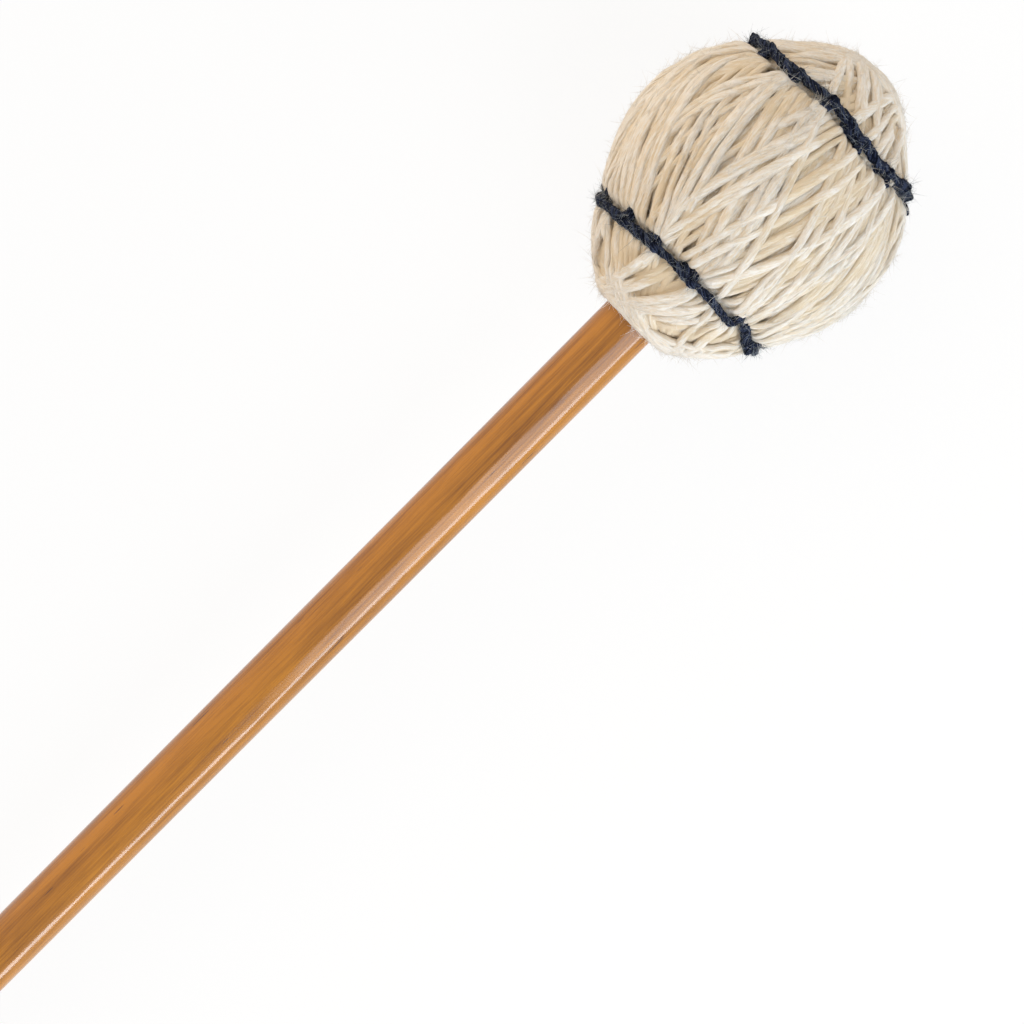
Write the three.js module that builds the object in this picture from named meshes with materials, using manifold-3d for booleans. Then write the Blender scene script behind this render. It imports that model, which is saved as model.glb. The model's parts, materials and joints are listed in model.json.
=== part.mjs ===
// A marimba mallet. A rattan shaft is glued into a moulded rubber core. The core is
// wound with wool yarn, and two rings of blanket stitches cinch the winding, so
// that the head has a round belly between two drawn-in ends: the collar, where the
// shaft goes in, and the crown.
// Millimetres, +Z up. The mallet lies on z = 0 on a flat of its head and on the rim
// of its butt, with the crown towards +X.
import * as THREE from 'three';
import { mergeVertices } from 'three/addons/utils/BufferGeometryUtils.js';
import Module from 'manifold-3d';

const wasm = await Module();
wasm.setup();

// Fits
const FIT_GAP = 0.3; // between curved pieces that touch on the real mallet
const WINDING_GAP = 0.5; // between neighbouring strands of the outer layer
const CUT_OVERRUN = 5; // how far a cutter reaches past what it cuts

// Shaft
const SHAFT_LENGTH = 410;
const SHAFT_DIAMETER = 9;
const BUTT_EDGE_RADIUS = 0.8;
const SHAFT_TIP_CHAMFER = 0.6; // at the end that is glued in
const SHAFT_SIDES = 32;
const BUTT_EDGE_STEPS = 4;

// Core
const CORE_DIAMETER = 31;
const CORE_LENGTH = 35.5;
const CORE_END_DIAMETER = 15; // the flat at each end
const BORE_DEPTH = 30;
const GLUE_THICKNESS = 0.4;
const CORE_SIDES = 28;
const CORE_STEPS = 10;

// Yarn
const YARN_DIAMETER = 1.4;
const YARN_BUILDUP = 7.3; // of all layers, over the widest circle of the core
const COLLAR_LENGTH = 9.1; // from the core's end to where the shaft comes out
const CROWN_LENGTH = 8.4; // from the core's other end to the tip of the crown
const COLLAR_POWER = 0.6; // how the collar swells from the shaft to its stitches
const CROWN_POWER = 0.57; // how the crown swells from its tip to its stitches
const CROWN_EYE_DIAMETER = 10; // what the outer layer leaves open at the crown
const REST_FLAT_DEPTH = 0.5; // how deep the winding is cut flat where the head rests
const WINDING_LOOPS = 24; // each runs from collar to crown and back
const WINDING_SLANT = THREE.MathUtils.degToRad(14); // of a strand, end to end
const WINDING_SIDES = 6;
const SHORT_TURN_STEPS = 4;
const LONG_TURN_STEPS = 2;
const UNDERWRAP_SIDES = 40;
const CROWN_BUTTON_STEPS = 3;

// Stitches
const THREAD_DIAMETER = 1.5;
const STITCH_INSET = 1.8; // of each ring from the core's end
const STITCH_SEAT_WIDTH = 2.4; // the level band of yarn under a ring
const STITCH_SEAT_SHARE = 0.62; // of that band, on the ring's outer side
const SHOULDER_WIDTH = 1.4; // from the band up to the belly, along the axis
const COLLAR_SHOULDER_DROP = 4.5; // from the widest circle, in radius
const CROWN_SHOULDER_DROP = 5;
const COLLAR_CINCH = 3; // how deep the ring draws the yarn in from its shoulder
const CROWN_CINCH = 3.6;
const STITCH_SPUR = 2.1; // how far a stitch reaches towards the belly
const STITCH_LAP = 3.6; // how far the thread's tail runs beside its start
const STITCH_SETBACK = 0.8; // of the thread's start, to clear the tail
const STITCH_SIDES = 5;
const STITCH_SHARES = [0, 0.34, 0.5, 0.66]; // along a stitch, the third on its spur
const SPUR_STEP = 2;
const COLLAR_STITCHES = { count: 13, spurAngle: THREE.MathUtils.degToRad(189), lapAfter: 1 };
const CROWN_STITCHES = { count: 14, spurAngle: THREE.MathUtils.degToRad(176), lapAfter: 2 };

// Finishes
const rattan = new THREE.MeshStandardMaterial({ color: 0xc58748, roughness: 0.25, metalness: 0 });
const rubber = new THREE.MeshStandardMaterial({ color: 0x3a3532, roughness: 0.8, metalness: 0 });
const glue = new THREE.MeshStandardMaterial({ color: 0xe6ddb8, roughness: 0.4, metalness: 0 });
const buriedYarn = new THREE.MeshStandardMaterial({ color: 0xcdbb9a, roughness: 0.95, metalness: 0 });
const creamYarn = new THREE.MeshStandardMaterial({ color: 0xe6dac3, roughness: 0.95, metalness: 0 });
const navyThread = new THREE.MeshStandardMaterial({ color: 0x2a3350, roughness: 0.9, metalness: 0 });

// Places along the axis, from the butt face
const shaftRadius = SHAFT_DIAMETER / 2;
const coreRadius = CORE_DIAMETER / 2;
const coreEnd = SHAFT_LENGTH + FIT_GAP - BORE_DEPTH;
const coreCrownEnd = coreEnd + CORE_LENGTH;
const widest = coreEnd + CORE_LENGTH / 2;
const mouth = coreEnd - COLLAR_LENGTH;
const tip = coreCrownEnd + CROWN_LENGTH;
const headRadius = coreRadius + YARN_BUILDUP;

// A solid of revolution about the X axis, from an outline of (along, radius) points
// that starts and ends on the axis or closes on itself.
function turned(outline, sides) {
  const points = outline.map(([along, radius]) => new THREE.Vector2(radius, along));
  return new THREE.LatheGeometry(points, sides).rotateZ(-Math.PI / 2);
}

// Points of a quarter round, from its start angle to its end angle.
function rounded(along, radius, size, start, end, steps) {
  const points = [];
  for (let i = 0; i <= steps; i++) {
    const angle = THREE.MathUtils.lerp(start, end, i / steps);
    points.push([along + size * Math.cos(angle), radius + size * Math.sin(angle)]);
  }
  return points;
}

function shaftGeometry() {
  const edge = BUTT_EDGE_RADIUS;
  const outline = [
    [0, 0],
    ...rounded(edge, shaftRadius - edge, edge, Math.PI, Math.PI / 2, BUTT_EDGE_STEPS),
    [SHAFT_LENGTH - SHAFT_TIP_CHAMFER, shaftRadius],
    [SHAFT_LENGTH, shaftRadius - SHAFT_TIP_CHAMFER],
    [SHAFT_LENGTH, 0],
  ];
  return turned(outline, SHAFT_SIDES);
}

// The core's outside, or the hollow that holds it when it is grown by a gap.
function barrel(grow) {
  const endRadius = CORE_END_DIAMETER / 2;
  const points = [];
  for (let i = 0; i <= CORE_STEPS; i++) {
    const angle = (Math.PI * i) / CORE_STEPS;
    points.push([
      widest - (CORE_LENGTH / 2 + grow) * Math.cos(angle),
      endRadius + grow + (coreRadius - endRadius) * Math.sin(angle),
    ]);
  }
  return points;
}

const sleeveInner = shaftRadius + FIT_GAP;
const sleeveOuter = sleeveInner + GLUE_THICKNESS;
const boreRadius = sleeveOuter + FIT_GAP;

function coreGeometry() {
  const boreEnd = coreEnd + BORE_DEPTH;
  const outline = [
    [boreEnd, 0],
    [boreEnd, boreRadius],
    [coreEnd, boreRadius],
    ...barrel(0),
    [coreCrownEnd, 0],
  ];
  return turned(outline, CORE_SIDES);
}

function glueGeometry() {
  const end = SHAFT_LENGTH - SHAFT_TIP_CHAMFER;
  const outline = [
    [coreEnd, sleeveInner],
    [coreEnd, sleeveOuter],
    [end, sleeveOuter],
    [end, sleeveInner],
    [coreEnd, sleeveInner],
  ];
  return turned(outline, CORE_SIDES);
}

// The yarn's outer surface, as stations along one meridian from collar to crown.
// The belly is an arc on each side of the widest circle, and the ends swell by a
// power of the distance.
const seatOuter = STITCH_SEAT_WIDTH * STITCH_SEAT_SHARE;
const seatInner = STITCH_SEAT_WIDTH - seatOuter;
const collarRing = coreEnd + STITCH_INSET;
const crownRing = coreCrownEnd - STITCH_INSET;
const mouthRadius = shaftRadius + FIT_GAP + YARN_DIAMETER;

const collar = {
  seatRadius: headRadius - COLLAR_SHOULDER_DROP - COLLAR_CINCH,
  shoulderRadius: headRadius - COLLAR_SHOULDER_DROP,
  outer: collarRing - seatOuter,
  inner: collarRing + seatInner,
  shoulder: collarRing + seatInner + SHOULDER_WIDTH,
};
const crown = {
  seatRadius: headRadius - CROWN_SHOULDER_DROP - CROWN_CINCH,
  shoulderRadius: headRadius - CROWN_SHOULDER_DROP,
  outer: crownRing + seatOuter,
  inner: crownRing - seatInner,
  shoulder: crownRing - seatInner - SHOULDER_WIDTH,
};

function collarSurface(along) {
  const share = (along - mouth) / (collar.outer - mouth);
  return mouthRadius + (collar.seatRadius - mouthRadius) * share ** COLLAR_POWER;
}

function crownSurface(along) {
  return crown.seatRadius * ((tip - along) / (tip - crown.outer)) ** CROWN_POWER;
}

function crownAlong(radius) {
  return tip - (tip - crown.outer) * (radius / crown.seatRadius) ** (1 / CROWN_POWER);
}

function bellySurface(along, end) {
  const run = end.shoulder - widest;
  const drop = headRadius - end.shoulderRadius;
  const arcRadius = (run ** 2 + drop ** 2) / (2 * drop);
  return headRadius - arcRadius + Math.sqrt(arcRadius ** 2 - (along - widest) ** 2);
}

const collarMiddle = (mouth + collar.outer) / 2;
const eyeAlong = crownAlong(CROWN_EYE_DIAMETER / 2);
const crownMiddle = (eyeAlong + crown.outer) / 2;
const collarBelly = (collar.shoulder + widest) / 2;
const crownBelly = (crown.shoulder + widest) / 2;
const stations = [
  ['collar turn', mouth, mouthRadius],
  ['collar middle', collarMiddle, collarSurface(collarMiddle)],
  ['collar seat', collar.outer, collar.seatRadius],
  ['collar ring', collar.inner, collar.seatRadius],
  ['collar shoulder', collar.shoulder, collar.shoulderRadius],
  ['collar belly', collarBelly, bellySurface(collarBelly, collar)],
  ['widest', widest, headRadius],
  ['crown belly', crownBelly, bellySurface(crownBelly, crown)],
  ['crown shoulder', crown.shoulder, crown.shoulderRadius],
  ['crown ring', crown.inner, crown.seatRadius],
  ['crown seat', crown.outer, crown.seatRadius],
  ['crown middle', crownMiddle, crownSurface(crownMiddle)],
  ['crown turn', eyeAlong, CROWN_EYE_DIAMETER / 2],
].map(([name, along, radius]) => ({ name, point: new THREE.Vector2(along, radius) }));

// Each station's outward normal is lengthened at a corner, so that an offset by it
// stays parallel to the surface on both sides.
stations.forEach((station, i) => {
  const before = stations[Math.max(i - 1, 0)].point;
  const after = stations[Math.min(i + 1, stations.length - 1)].point;
  const arriving = station.point.clone().sub(before).normalize();
  const leaving = after.clone().sub(station.point).normalize();
  const heading = arriving.clone().add(leaving).normalize();
  const bend = Math.max(heading.dot(arriving), heading.dot(leaving));
  station.normal = new THREE.Vector2(-heading.y, heading.x).divideScalar(bend);
  const previous = stations[i - 1];
  station.distance = i ? previous.distance + station.point.distanceTo(previous.point) : 0;
});
const meridianLength = stations.at(-1).distance;

function distanceOf(name) {
  return stations.find((station) => station.name === name).distance;
}

// The surface, lifted by a height, at a distance along the meridian.
function surfaceAt(distance, height) {
  const last = stations.length - 1;
  let i = 1;
  while (i < last && stations[i].distance < distance) i++;
  const [from, to] = [stations[i - 1], stations[i]];
  const share = (distance - from.distance) / (to.distance - from.distance);
  const normal = from.normal.clone().lerp(to.normal, share);
  const point = from.point.clone().lerp(to.point, share).addScaledVector(normal, height);
  return { point, normal };
}

// A point or a direction of the meridian, carried round the axis. Angle 0 is
// straight down.
function carried(vector, angle) {
  return new THREE.Vector3(vector.x, vector.y * Math.sin(angle), -vector.y * Math.cos(angle));
}

// A step of a path over the head: its centre, the way out of the surface, and the
// strand's width there.
function step(distance, angle, height, width) {
  const { point, normal } = surfaceAt(distance, height);
  return { centre: carried(point, angle), out: carried(normal, angle), width };
}

// Rings of points round a path, each square to it. Each has its path step's width,
// and reaches half of the thickness to both sides of the path.
function ringsAlong(path, thickness, sides) {
  const angles = Array.from({ length: sides }, (_, k) => (2 * Math.PI * k) / sides);
  const highest = Math.max(...angles.map(Math.sin));
  return path.map(({ centre, out, width }, i) => {
    const before = path[Math.max(i - 1, 0)].centre;
    const after = path[Math.min(i + 1, path.length - 1)].centre;
    const arriving = centre.clone().sub(before).normalize();
    const leaving = after.clone().sub(centre).normalize();
    const heading = arriving.add(leaving).normalize();
    const across = new THREE.Vector3().crossVectors(out, heading).normalize();
    return angles.map((angle) =>
      centre
        .clone()
        .addScaledVector(across, (width / 2) * Math.cos(angle))
        .addScaledVector(out, ((thickness / 2) * Math.sin(angle)) / highest),
    );
  });
}

// One closed tube with flat ends, from its rings.
function tube(rings) {
  const sides = rings[0].length;
  const index = [];
  for (let i = 0; i + 1 < rings.length; i++) {
    for (let k = 0; k < sides; k++) {
      const [a, b] = [i * sides + k, i * sides + ((k + 1) % sides)];
      index.push(a, b, a + sides, b, b + sides, a + sides);
    }
  }
  const last = (rings.length - 1) * sides;
  for (let k = 1; k + 1 < sides; k++) {
    index.push(0, k + 1, k);
    index.push(last, last + k, last + k + 1);
  }
  const geometry = new THREE.BufferGeometry();
  const points = rings.flat().flatMap((point) => point.toArray());
  geometry.setAttribute('position', new THREE.Float32BufferAttribute(points, 3));
  geometry.setIndex(index);
  return geometry;
}

// The least distance between points of a tube that are more than two steps apart.
function leastGap(rings) {
  let least = Infinity;
  for (let i = 0; i < rings.length; i++) {
    for (let j = i + 3; j < rings.length; j++) {
      for (const a of rings[i]) {
        for (const b of rings[j]) least = Math.min(least, a.distanceTo(b));
      }
    }
  }
  return least;
}

// The outer layer of yarn. Its strands lie side by side, and the yarn turns back at
// each end of one into the next. Every other turn is a short one, just past the
// stitches, so that half of the strands run on over the collar and the crown, where
// they spread out evenly.
const strandCount = 2 * WINDING_LOOPS;
const strandAngle = (2 * Math.PI) / strandCount;
const slantToWidest = (WINDING_SLANT * distanceOf('widest')) / meridianLength;

const ends = {
  collar: {
    seat: distanceOf('collar seat'),
    middle: distanceOf('collar middle'),
    turn: 0,
    direction: -1,
    pairOf: (strand) => Math.floor((strand - 1) / 2),
    firstOfPair: (strand) => Math.abs(strand % 2) === 1,
  },
  crown: {
    seat: distanceOf('crown seat'),
    middle: distanceOf('crown middle'),
    turn: meridianLength,
    direction: 1,
    pairOf: (strand) => Math.floor(strand / 2),
    firstOfPair: (strand) => strand % 2 === 0,
  },
};

function isLong(end, strand) {
  return end.pairOf(strand) % 2 === 0;
}

// How far a strand has spread at a distance, from 0 at the stitches to 1.
function spreadAt(end, strand, distance) {
  if (!isLong(end, strand)) return 0;
  const share = (distance - end.seat) / (end.middle - end.seat);
  return THREE.MathUtils.clamp(share, 0, 1);
}

function angleOf(strand, distance) {
  let angle = strand * strandAngle + (WINDING_SLANT * distance) / meridianLength - slantToWidest;
  for (const end of Object.values(ends)) {
    const side = end.firstOfPair(strand) ? -1 : 1;
    angle += (side * spreadAt(end, strand, distance) * strandAngle) / 2;
  }
  return angle;
}

function spacingAt(strand, distance) {
  let angle = strandAngle;
  for (const end of Object.values(ends)) {
    angle += spreadAt(end, strand, distance) * strandAngle;
  }
  return angle * surfaceAt(distance, -YARN_DIAMETER / 2).point.y;
}

function strandStep(strand, distance) {
  const width = spacingAt(strand, distance) - WINDING_GAP;
  return step(distance, angleOf(strand, distance), -YARN_DIAMETER / 2, width);
}

// Where a strand starts to turn at an end.
function turnStart(end, strand) {
  if (!isLong(end, strand)) return end.seat;
  return end.turn - (end.direction * spacingAt(strand, end.turn)) / 2;
}

function strandDistances(strand) {
  const from = turnStart(ends.collar, strand);
  const to = turnStart(ends.crown, strand);
  const between = stations
    .map((station) => station.distance)
    .filter((distance) => distance > from && distance < to);
  return [from, ...between, to];
}

// The steps of a turn, without its ends, from a strand into the next one.
function turnSteps(end, strand) {
  const start = turnStart(end, strand);
  const steps = isLong(end, strand) ? LONG_TURN_STEPS : SHORT_TURN_STEPS;
  const reach = (end.direction * spacingAt(strand, start)) / 2;
  const width = spacingAt(strand, start) - WINDING_GAP;
  const [from, to] = [angleOf(strand, start), angleOf(strand + 1, start)];
  const path = [];
  for (let i = 1; i < steps; i++) {
    const sweep = (Math.PI * i) / steps;
    const distance = start + reach * Math.sin(sweep);
    const angle = THREE.MathUtils.lerp(from, to, (1 - Math.cos(sweep)) / 2);
    path.push(step(distance, angle, -YARN_DIAMETER / 2, width));
  }
  return path;
}

function windingPath() {
  const path = [];
  for (let strand = 0; strand < strandCount; strand++) {
    const outbound = strand % 2 === 0;
    const distances = strandDistances(strand);
    if (!outbound) distances.reverse();
    path.push(...distances.map((distance) => strandStep(strand, distance)));
    if (strand + 1 < strandCount) {
      path.push(...turnSteps(outbound ? ends.crown : ends.collar, strand));
    }
  }
  return path;
}

// The buried layers: a solid that the outer layer lies on, hollow for the core and
// the shaft, with a button at the crown that fills the eye of the outer layer.
function underwrapGeometry() {
  const depth = -(YARN_DIAMETER + FIT_GAP);
  const outside = stations.map(({ distance }) => surfaceAt(distance, depth).point.toArray());
  const eyeWidth = spacingAt(0, meridianLength) - WINDING_GAP;
  const eyeCentre = surfaceAt(meridianLength, -YARN_DIAMETER / 2).point.y;
  const buttonRadius = eyeCentre - eyeWidth / 2 - FIT_GAP;
  const button = [];
  for (let i = 0; i < CROWN_BUTTON_STEPS; i++) {
    const radius = buttonRadius * (1 - i / CROWN_BUTTON_STEPS);
    button.push([crownAlong(radius), radius]);
  }
  const foot = outside.at(-1)[0];
  const holeRadius = shaftRadius + FIT_GAP;
  const outline = [
    [coreCrownEnd + FIT_GAP, 0],
    ...barrel(FIT_GAP).reverse(),
    [coreEnd - FIT_GAP, holeRadius],
    [outside[0][0], holeRadius],
    ...outside,
    [foot, buttonRadius],
    ...button,
    [tip, 0],
  ];
  return turned(outline, UNDERWRAP_SIDES);
}

// A ring of blanket stitches. The thread runs round on its seat, each stitch sends
// a spur up the shoulder, and the tail laps beside the start on the outer side.
function stitchPath(end, seatName, ringName, { count, spurAngle, lapAfter }) {
  const height = THREAD_DIAMETER / 2 + FIT_GAP;
  const [outer, inner] = [distanceOf(seatName), distanceOf(ringName)];
  const seat = THREE.MathUtils.lerp(outer, inner, STITCH_SEAT_SHARE);
  const spur = seat - end.direction * STITCH_SPUR;
  const tail = seat + end.direction * (THREAD_DIAMETER + WINDING_GAP);
  const ringRadius = surfaceAt(seat, height).point.y;
  const pitch = (2 * Math.PI) / count;
  const start = spurAngle + (lapAfter + 1 / 2) * pitch;
  const at = (distance, angle) => step(distance, angle, height, THREAD_DIAMETER);
  const path = [];
  for (let stitch = 0; stitch < count; stitch++) {
    STITCH_SHARES.forEach((share, i) => {
      path.push(at(i === SPUR_STEP ? spur : seat, start + (stitch + share) * pitch));
    });
  }
  path[0] = at(seat, start + STITCH_SETBACK / ringRadius);
  const lap = start + 2 * Math.PI;
  path.push(at(tail, lap), at(tail, lap + STITCH_LAP / ringRadius));
  return path;
}

// How the mallet lies: the line of the floor touches the rounded rim of the butt
// and passes through the flat under the widest circle of the head.
const flatBelow = headRadius - REST_FLAT_DEPTH;
const rim = new THREE.Vector2(BUTT_EDGE_RADIUS, BUTT_EDGE_RADIUS - shaftRadius);
const rest = new THREE.Vector2(widest, -flatBelow);
const fromRim = rest.clone().sub(rim);
const slope = Math.atan2(fromRim.y, fromRim.x);
const tilt = -(slope + Math.asin(BUTT_EDGE_RADIUS / fromRim.length()));

const laid = new THREE.Group();
laid.rotation.y = -tilt;
laid.position.z = -(rest.x * Math.sin(tilt) + rest.y * Math.cos(tilt));
laid.updateMatrixWorld(true);

function asManifold(geometry) {
  const bare = geometry.clone();
  bare.deleteAttribute('normal');
  bare.deleteAttribute('uv');
  const merged = mergeVertices(bare);
  const vertProperties = new Float32Array(merged.attributes.position.array);
  const triVerts = new Uint32Array(merged.index.array);
  return new wasm.Manifold(new wasm.Mesh({ numProp: 3, vertProperties, triVerts }));
}

function asGeometry(manifold) {
  const mesh = manifold.getMesh();
  const geometry = new THREE.BufferGeometry();
  geometry.setAttribute('position', new THREE.BufferAttribute(mesh.vertProperties, 3));
  geometry.setIndex(new THREE.BufferAttribute(mesh.triVerts, 1));
  return geometry;
}

// Everything below the floor is cut off the winding.
function cutFlat(geometry) {
  const size = 2 * (headRadius + CUT_OVERRUN);
  const floor = new THREE.BoxGeometry(size, size, size);
  floor.translate(widest, 0, -size / 2);
  floor.applyMatrix4(laid.matrixWorld.clone().invert());
  return asGeometry(asManifold(geometry).subtract(asManifold(floor)));
}

function windingGeometry() {
  const rings = ringsAlong(windingPath(), YARN_DIAMETER, WINDING_SIDES);
  console.log(`yarn_winding: least gap to itself ${leastGap(rings).toFixed(2)} mm`);
  return cutFlat(tube(rings));
}

function stitchGeometry(name, ...place) {
  const rings = ringsAlong(stitchPath(...place), THREAD_DIAMETER, STITCH_SIDES);
  console.log(`${name}: least gap to itself ${leastGap(rings).toFixed(2)} mm`);
  return tube(rings);
}

function add(name, geometry, material) {
  const mesh = new THREE.Mesh(geometry, material);
  mesh.name = name;
  laid.add(mesh);
}

add('shaft', shaftGeometry(), rattan);
add('core', coreGeometry(), rubber);
add('glue_sleeve', glueGeometry(), glue);
add('yarn_underwrap', underwrapGeometry(), buriedYarn);
add('yarn_winding', windingGeometry(), creamYarn);
add(
  'collar_stitching',
  stitchGeometry('collar_stitching', ends.collar, 'collar seat', 'collar ring', COLLAR_STITCHES),
  navyThread,
);
add(
  'crown_stitching',
  stitchGeometry('crown_stitching', ends.crown, 'crown seat', 'crown ring', CROWN_STITCHES),
  navyThread,
);

// The origin is on the floor, under the middle of the mallet.
const bounds = new THREE.Box3().setFromObject(laid, true);
laid.position.x -= (bounds.min.x + bounds.max.x) / 2;

const mallet = new THREE.Group();
mallet.add(laid);

export default mallet;
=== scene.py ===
"""The looks of the marimba mallet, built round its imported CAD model.

Lengths of the yarn work are in millimetres in the mallet's own frame: x runs along
the shaft from the butt face, y is the row frame's y, and z is square to both, upwards.
Angles round the shaft start at the top, which faces the camera, and grow towards -y.
"""

import json
import math

import bmesh
import bpy
import numpy as np
from bpy.props import FloatProperty, FloatVectorProperty, IntProperty, PointerProperty
from mathutils import Euler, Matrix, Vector

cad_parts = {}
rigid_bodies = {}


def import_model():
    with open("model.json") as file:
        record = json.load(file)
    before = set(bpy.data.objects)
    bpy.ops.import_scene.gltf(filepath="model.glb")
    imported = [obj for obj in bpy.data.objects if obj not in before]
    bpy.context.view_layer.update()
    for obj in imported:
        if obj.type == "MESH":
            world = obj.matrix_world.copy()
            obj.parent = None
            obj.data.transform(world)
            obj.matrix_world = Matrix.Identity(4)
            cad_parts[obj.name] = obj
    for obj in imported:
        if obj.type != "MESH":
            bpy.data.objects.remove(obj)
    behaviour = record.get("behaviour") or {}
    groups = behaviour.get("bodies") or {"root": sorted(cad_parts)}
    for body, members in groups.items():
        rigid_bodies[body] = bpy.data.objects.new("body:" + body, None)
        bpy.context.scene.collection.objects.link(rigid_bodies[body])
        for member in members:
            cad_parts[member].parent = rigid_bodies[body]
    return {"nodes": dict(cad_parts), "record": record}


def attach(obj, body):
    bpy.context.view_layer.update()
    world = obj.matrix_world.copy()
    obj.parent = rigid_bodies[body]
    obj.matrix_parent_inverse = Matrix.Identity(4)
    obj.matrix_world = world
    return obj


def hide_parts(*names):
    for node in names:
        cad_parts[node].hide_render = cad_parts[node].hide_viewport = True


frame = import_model()

bl_info = {
    "name": "Marimba Mallet",
    "version": (1, 0, 0),
    "blender": (4, 5, 0),
    "location": "View3D > Sidebar > Mallet",
    "description": "Builds the shaft, the wound head, its stitching and the studio",
    "category": "Object",
}

MM = 0.001
BUTT = next(m for m in frame["record"]["mounts"] if m["name"] == "butt_end")
BUTT_FACE = Vector(BUTT["pos_m"])
AXIS = -Vector(BUTT["axis"])
SIDE = Vector((0, 1, 0))
UP = AXIS.cross(SIDE)
TILT = math.atan2(AXIS.z, AXIS.x)

# The yarn's outer surface along one side, as places from the mouth, where the shaft
# comes out, and radii. The last point mirrors the one before the tip, so that the
# crown has a round end.
MOUTH = 371.2
OUTLINE = (
    (1.3, 4.7),
    (0.35, 5.6),
    (0.55, 6.9),
    (1.6, 8.7),
    (4.4, 12.2),
    (8.5, 15.6),
    (13.5, 18.6),
    (20.0, 21.6),
    (27.0, 22.8),
    (34.0, 21.7),
    (40.5, 18.0),
    (46.0, 12.3),
    (50.5, 6.6),
    (52.6, 0.0),
    (50.5, -6.6),
)


class StitchedRing:
    """A ring of stitches: how far it is from the mouth, which way its spurs point, the
    degrees round the shaft at which they are, and how the ring wanders along the head,
    as degrees and millimetres. The run that starts at the slanting stitch leaves from
    the tip of its spur."""

    def __init__(self, along, towards, stitches, wander, slanting=None):
        self.along, self.towards, self.slanting = along, towards, slanting
        self.stitches = sorted(stitch % 360 for stitch in stitches)
        self.turns, self.shifts = np.transpose(wander)

    def at(self, angle):
        """Distance from the mouth at an angle in radians."""
        return self.along + np.interp(np.degrees(angle), self.turns, self.shifts, period=360)


RINGS = {
    "collar": StitchedRing(
        10.9,
        1,
        (-67, -39, -17, 9, 42, 70, 97, 124, 152, 180, 207, 234, 263),
        (
            *((-110, 0), (-70, -0.8), (-40, -0.6), (-15, -0.1)),
            *((30, 0), (55, -0.4), (70, -0.8), (110, 0)),
        ),
        slanting=42,
    ),
    "crown": StitchedRing(
        42.2,
        -1,
        (-52, -26, -4, 20, 42, 66, 92, 118, 144, 170, 196, 222, 248, 278),
        (
            *((-80, 0), (-30, -0.6), (-4, -0.1), (8, -0.4)),
            *((20, -1.1), (35, -1.3), (50, -0.7), (70, 0)),
        ),
    ),
}


def to_world(points):
    """Row-frame metres of points in the mallet's own frame, in millimetres."""
    turn = np.array([AXIS, SIDE, UP])
    return np.array(BUTT_FACE) + np.asarray(points, float) @ turn * MM


def laid_from(place):
    """Turns what stands upright on the origin to how the mallet lies, from a place."""
    turn = Vector((0, 0, 1)).rotation_difference(AXIS).to_matrix().to_4x4()
    turn.translation = place
    return turn


# Sizes and colours


def length(name, description, default):
    return FloatProperty(
        name=name, description=description, default=default, unit="LENGTH", precision=5
    )


def count(name, description, default, least=0):
    return IntProperty(name=name, description=description, default=default, min=least)


def colour(name, description, default):
    return FloatVectorProperty(
        name=name, description=description, default=default, subtype="COLOR", min=0, max=1
    )


def power(name, description, default):
    return FloatProperty(name=name, description=description, default=default, unit="POWER")


class MalletShaftSettings(bpy.types.PropertyGroup):
    """Sizes and colours of the rattan shaft."""

    length: length("Length", "From the butt face to the glued end", 0.410)
    diameter: length("Diameter", "Of the varnished rattan", 0.009)
    edge: length("Butt edge", "Radius of the rounded edge of the butt", 0.0008)
    light: colour("Light rattan", "The pale streaks", (0.450, 0.174, 0.010))
    dark: colour("Dark rattan", "The amber streaks", (0.200, 0.066, 0.003))
    fleck: colour("Fleck", "The short dark marks", (0.120, 0.045, 0.015))
    end_grain: colour("End grain", "The bare cut of the butt", (0.420, 0.340, 0.240))
    pore: colour("Pore", "The open pores of the cut", (0.120, 0.085, 0.055))


class MalletYarnSettings(bpy.types.PropertyGroup):
    """Sizes and colours of the wool yarn."""

    diameter: length("Diameter", "Of one strand", 0.00118)
    buried: count("Buried bundles", "Groups of wraps under the outer layer", 9)
    bundles: count("Outer bundles", "Groups of wraps in the outer layer", 41, 2)
    wraps: count("Wraps in a bundle", "Usual wraps from collar to crown and back", 3, 1)
    hairs: count("Hairs", "Loose fibres on the wool, for each of its outer parts", 8000)
    seed: count("Seed", "Of the irregularity of the hand winding", 7)
    cream: colour("Cream", "The wool on the outside", (0.890, 0.842, 0.772))
    shade: colour("Shade", "The wool deep between the strands", (0.760, 0.618, 0.428))


class MalletThreadSettings(bpy.types.PropertyGroup):
    """Sizes and colours of the navy stitching."""

    diameter: length("Diameter", "Of the thread", 0.0013)
    spur: length("Spur", "Reach of a stitch towards the belly", 0.0015)
    hairs: count("Hairs", "Loose fibres that stand off each ring", 7000)
    navy: colour("Navy", "The thread", (0.002, 0.0035, 0.011))
    rubbed: colour("Rubbed navy", "Its paler, rubbed fibres", (0.050, 0.066, 0.122))
    fuzz: colour("Fuzz", "Its palest loose fibres", (0.330, 0.380, 0.410))


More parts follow.
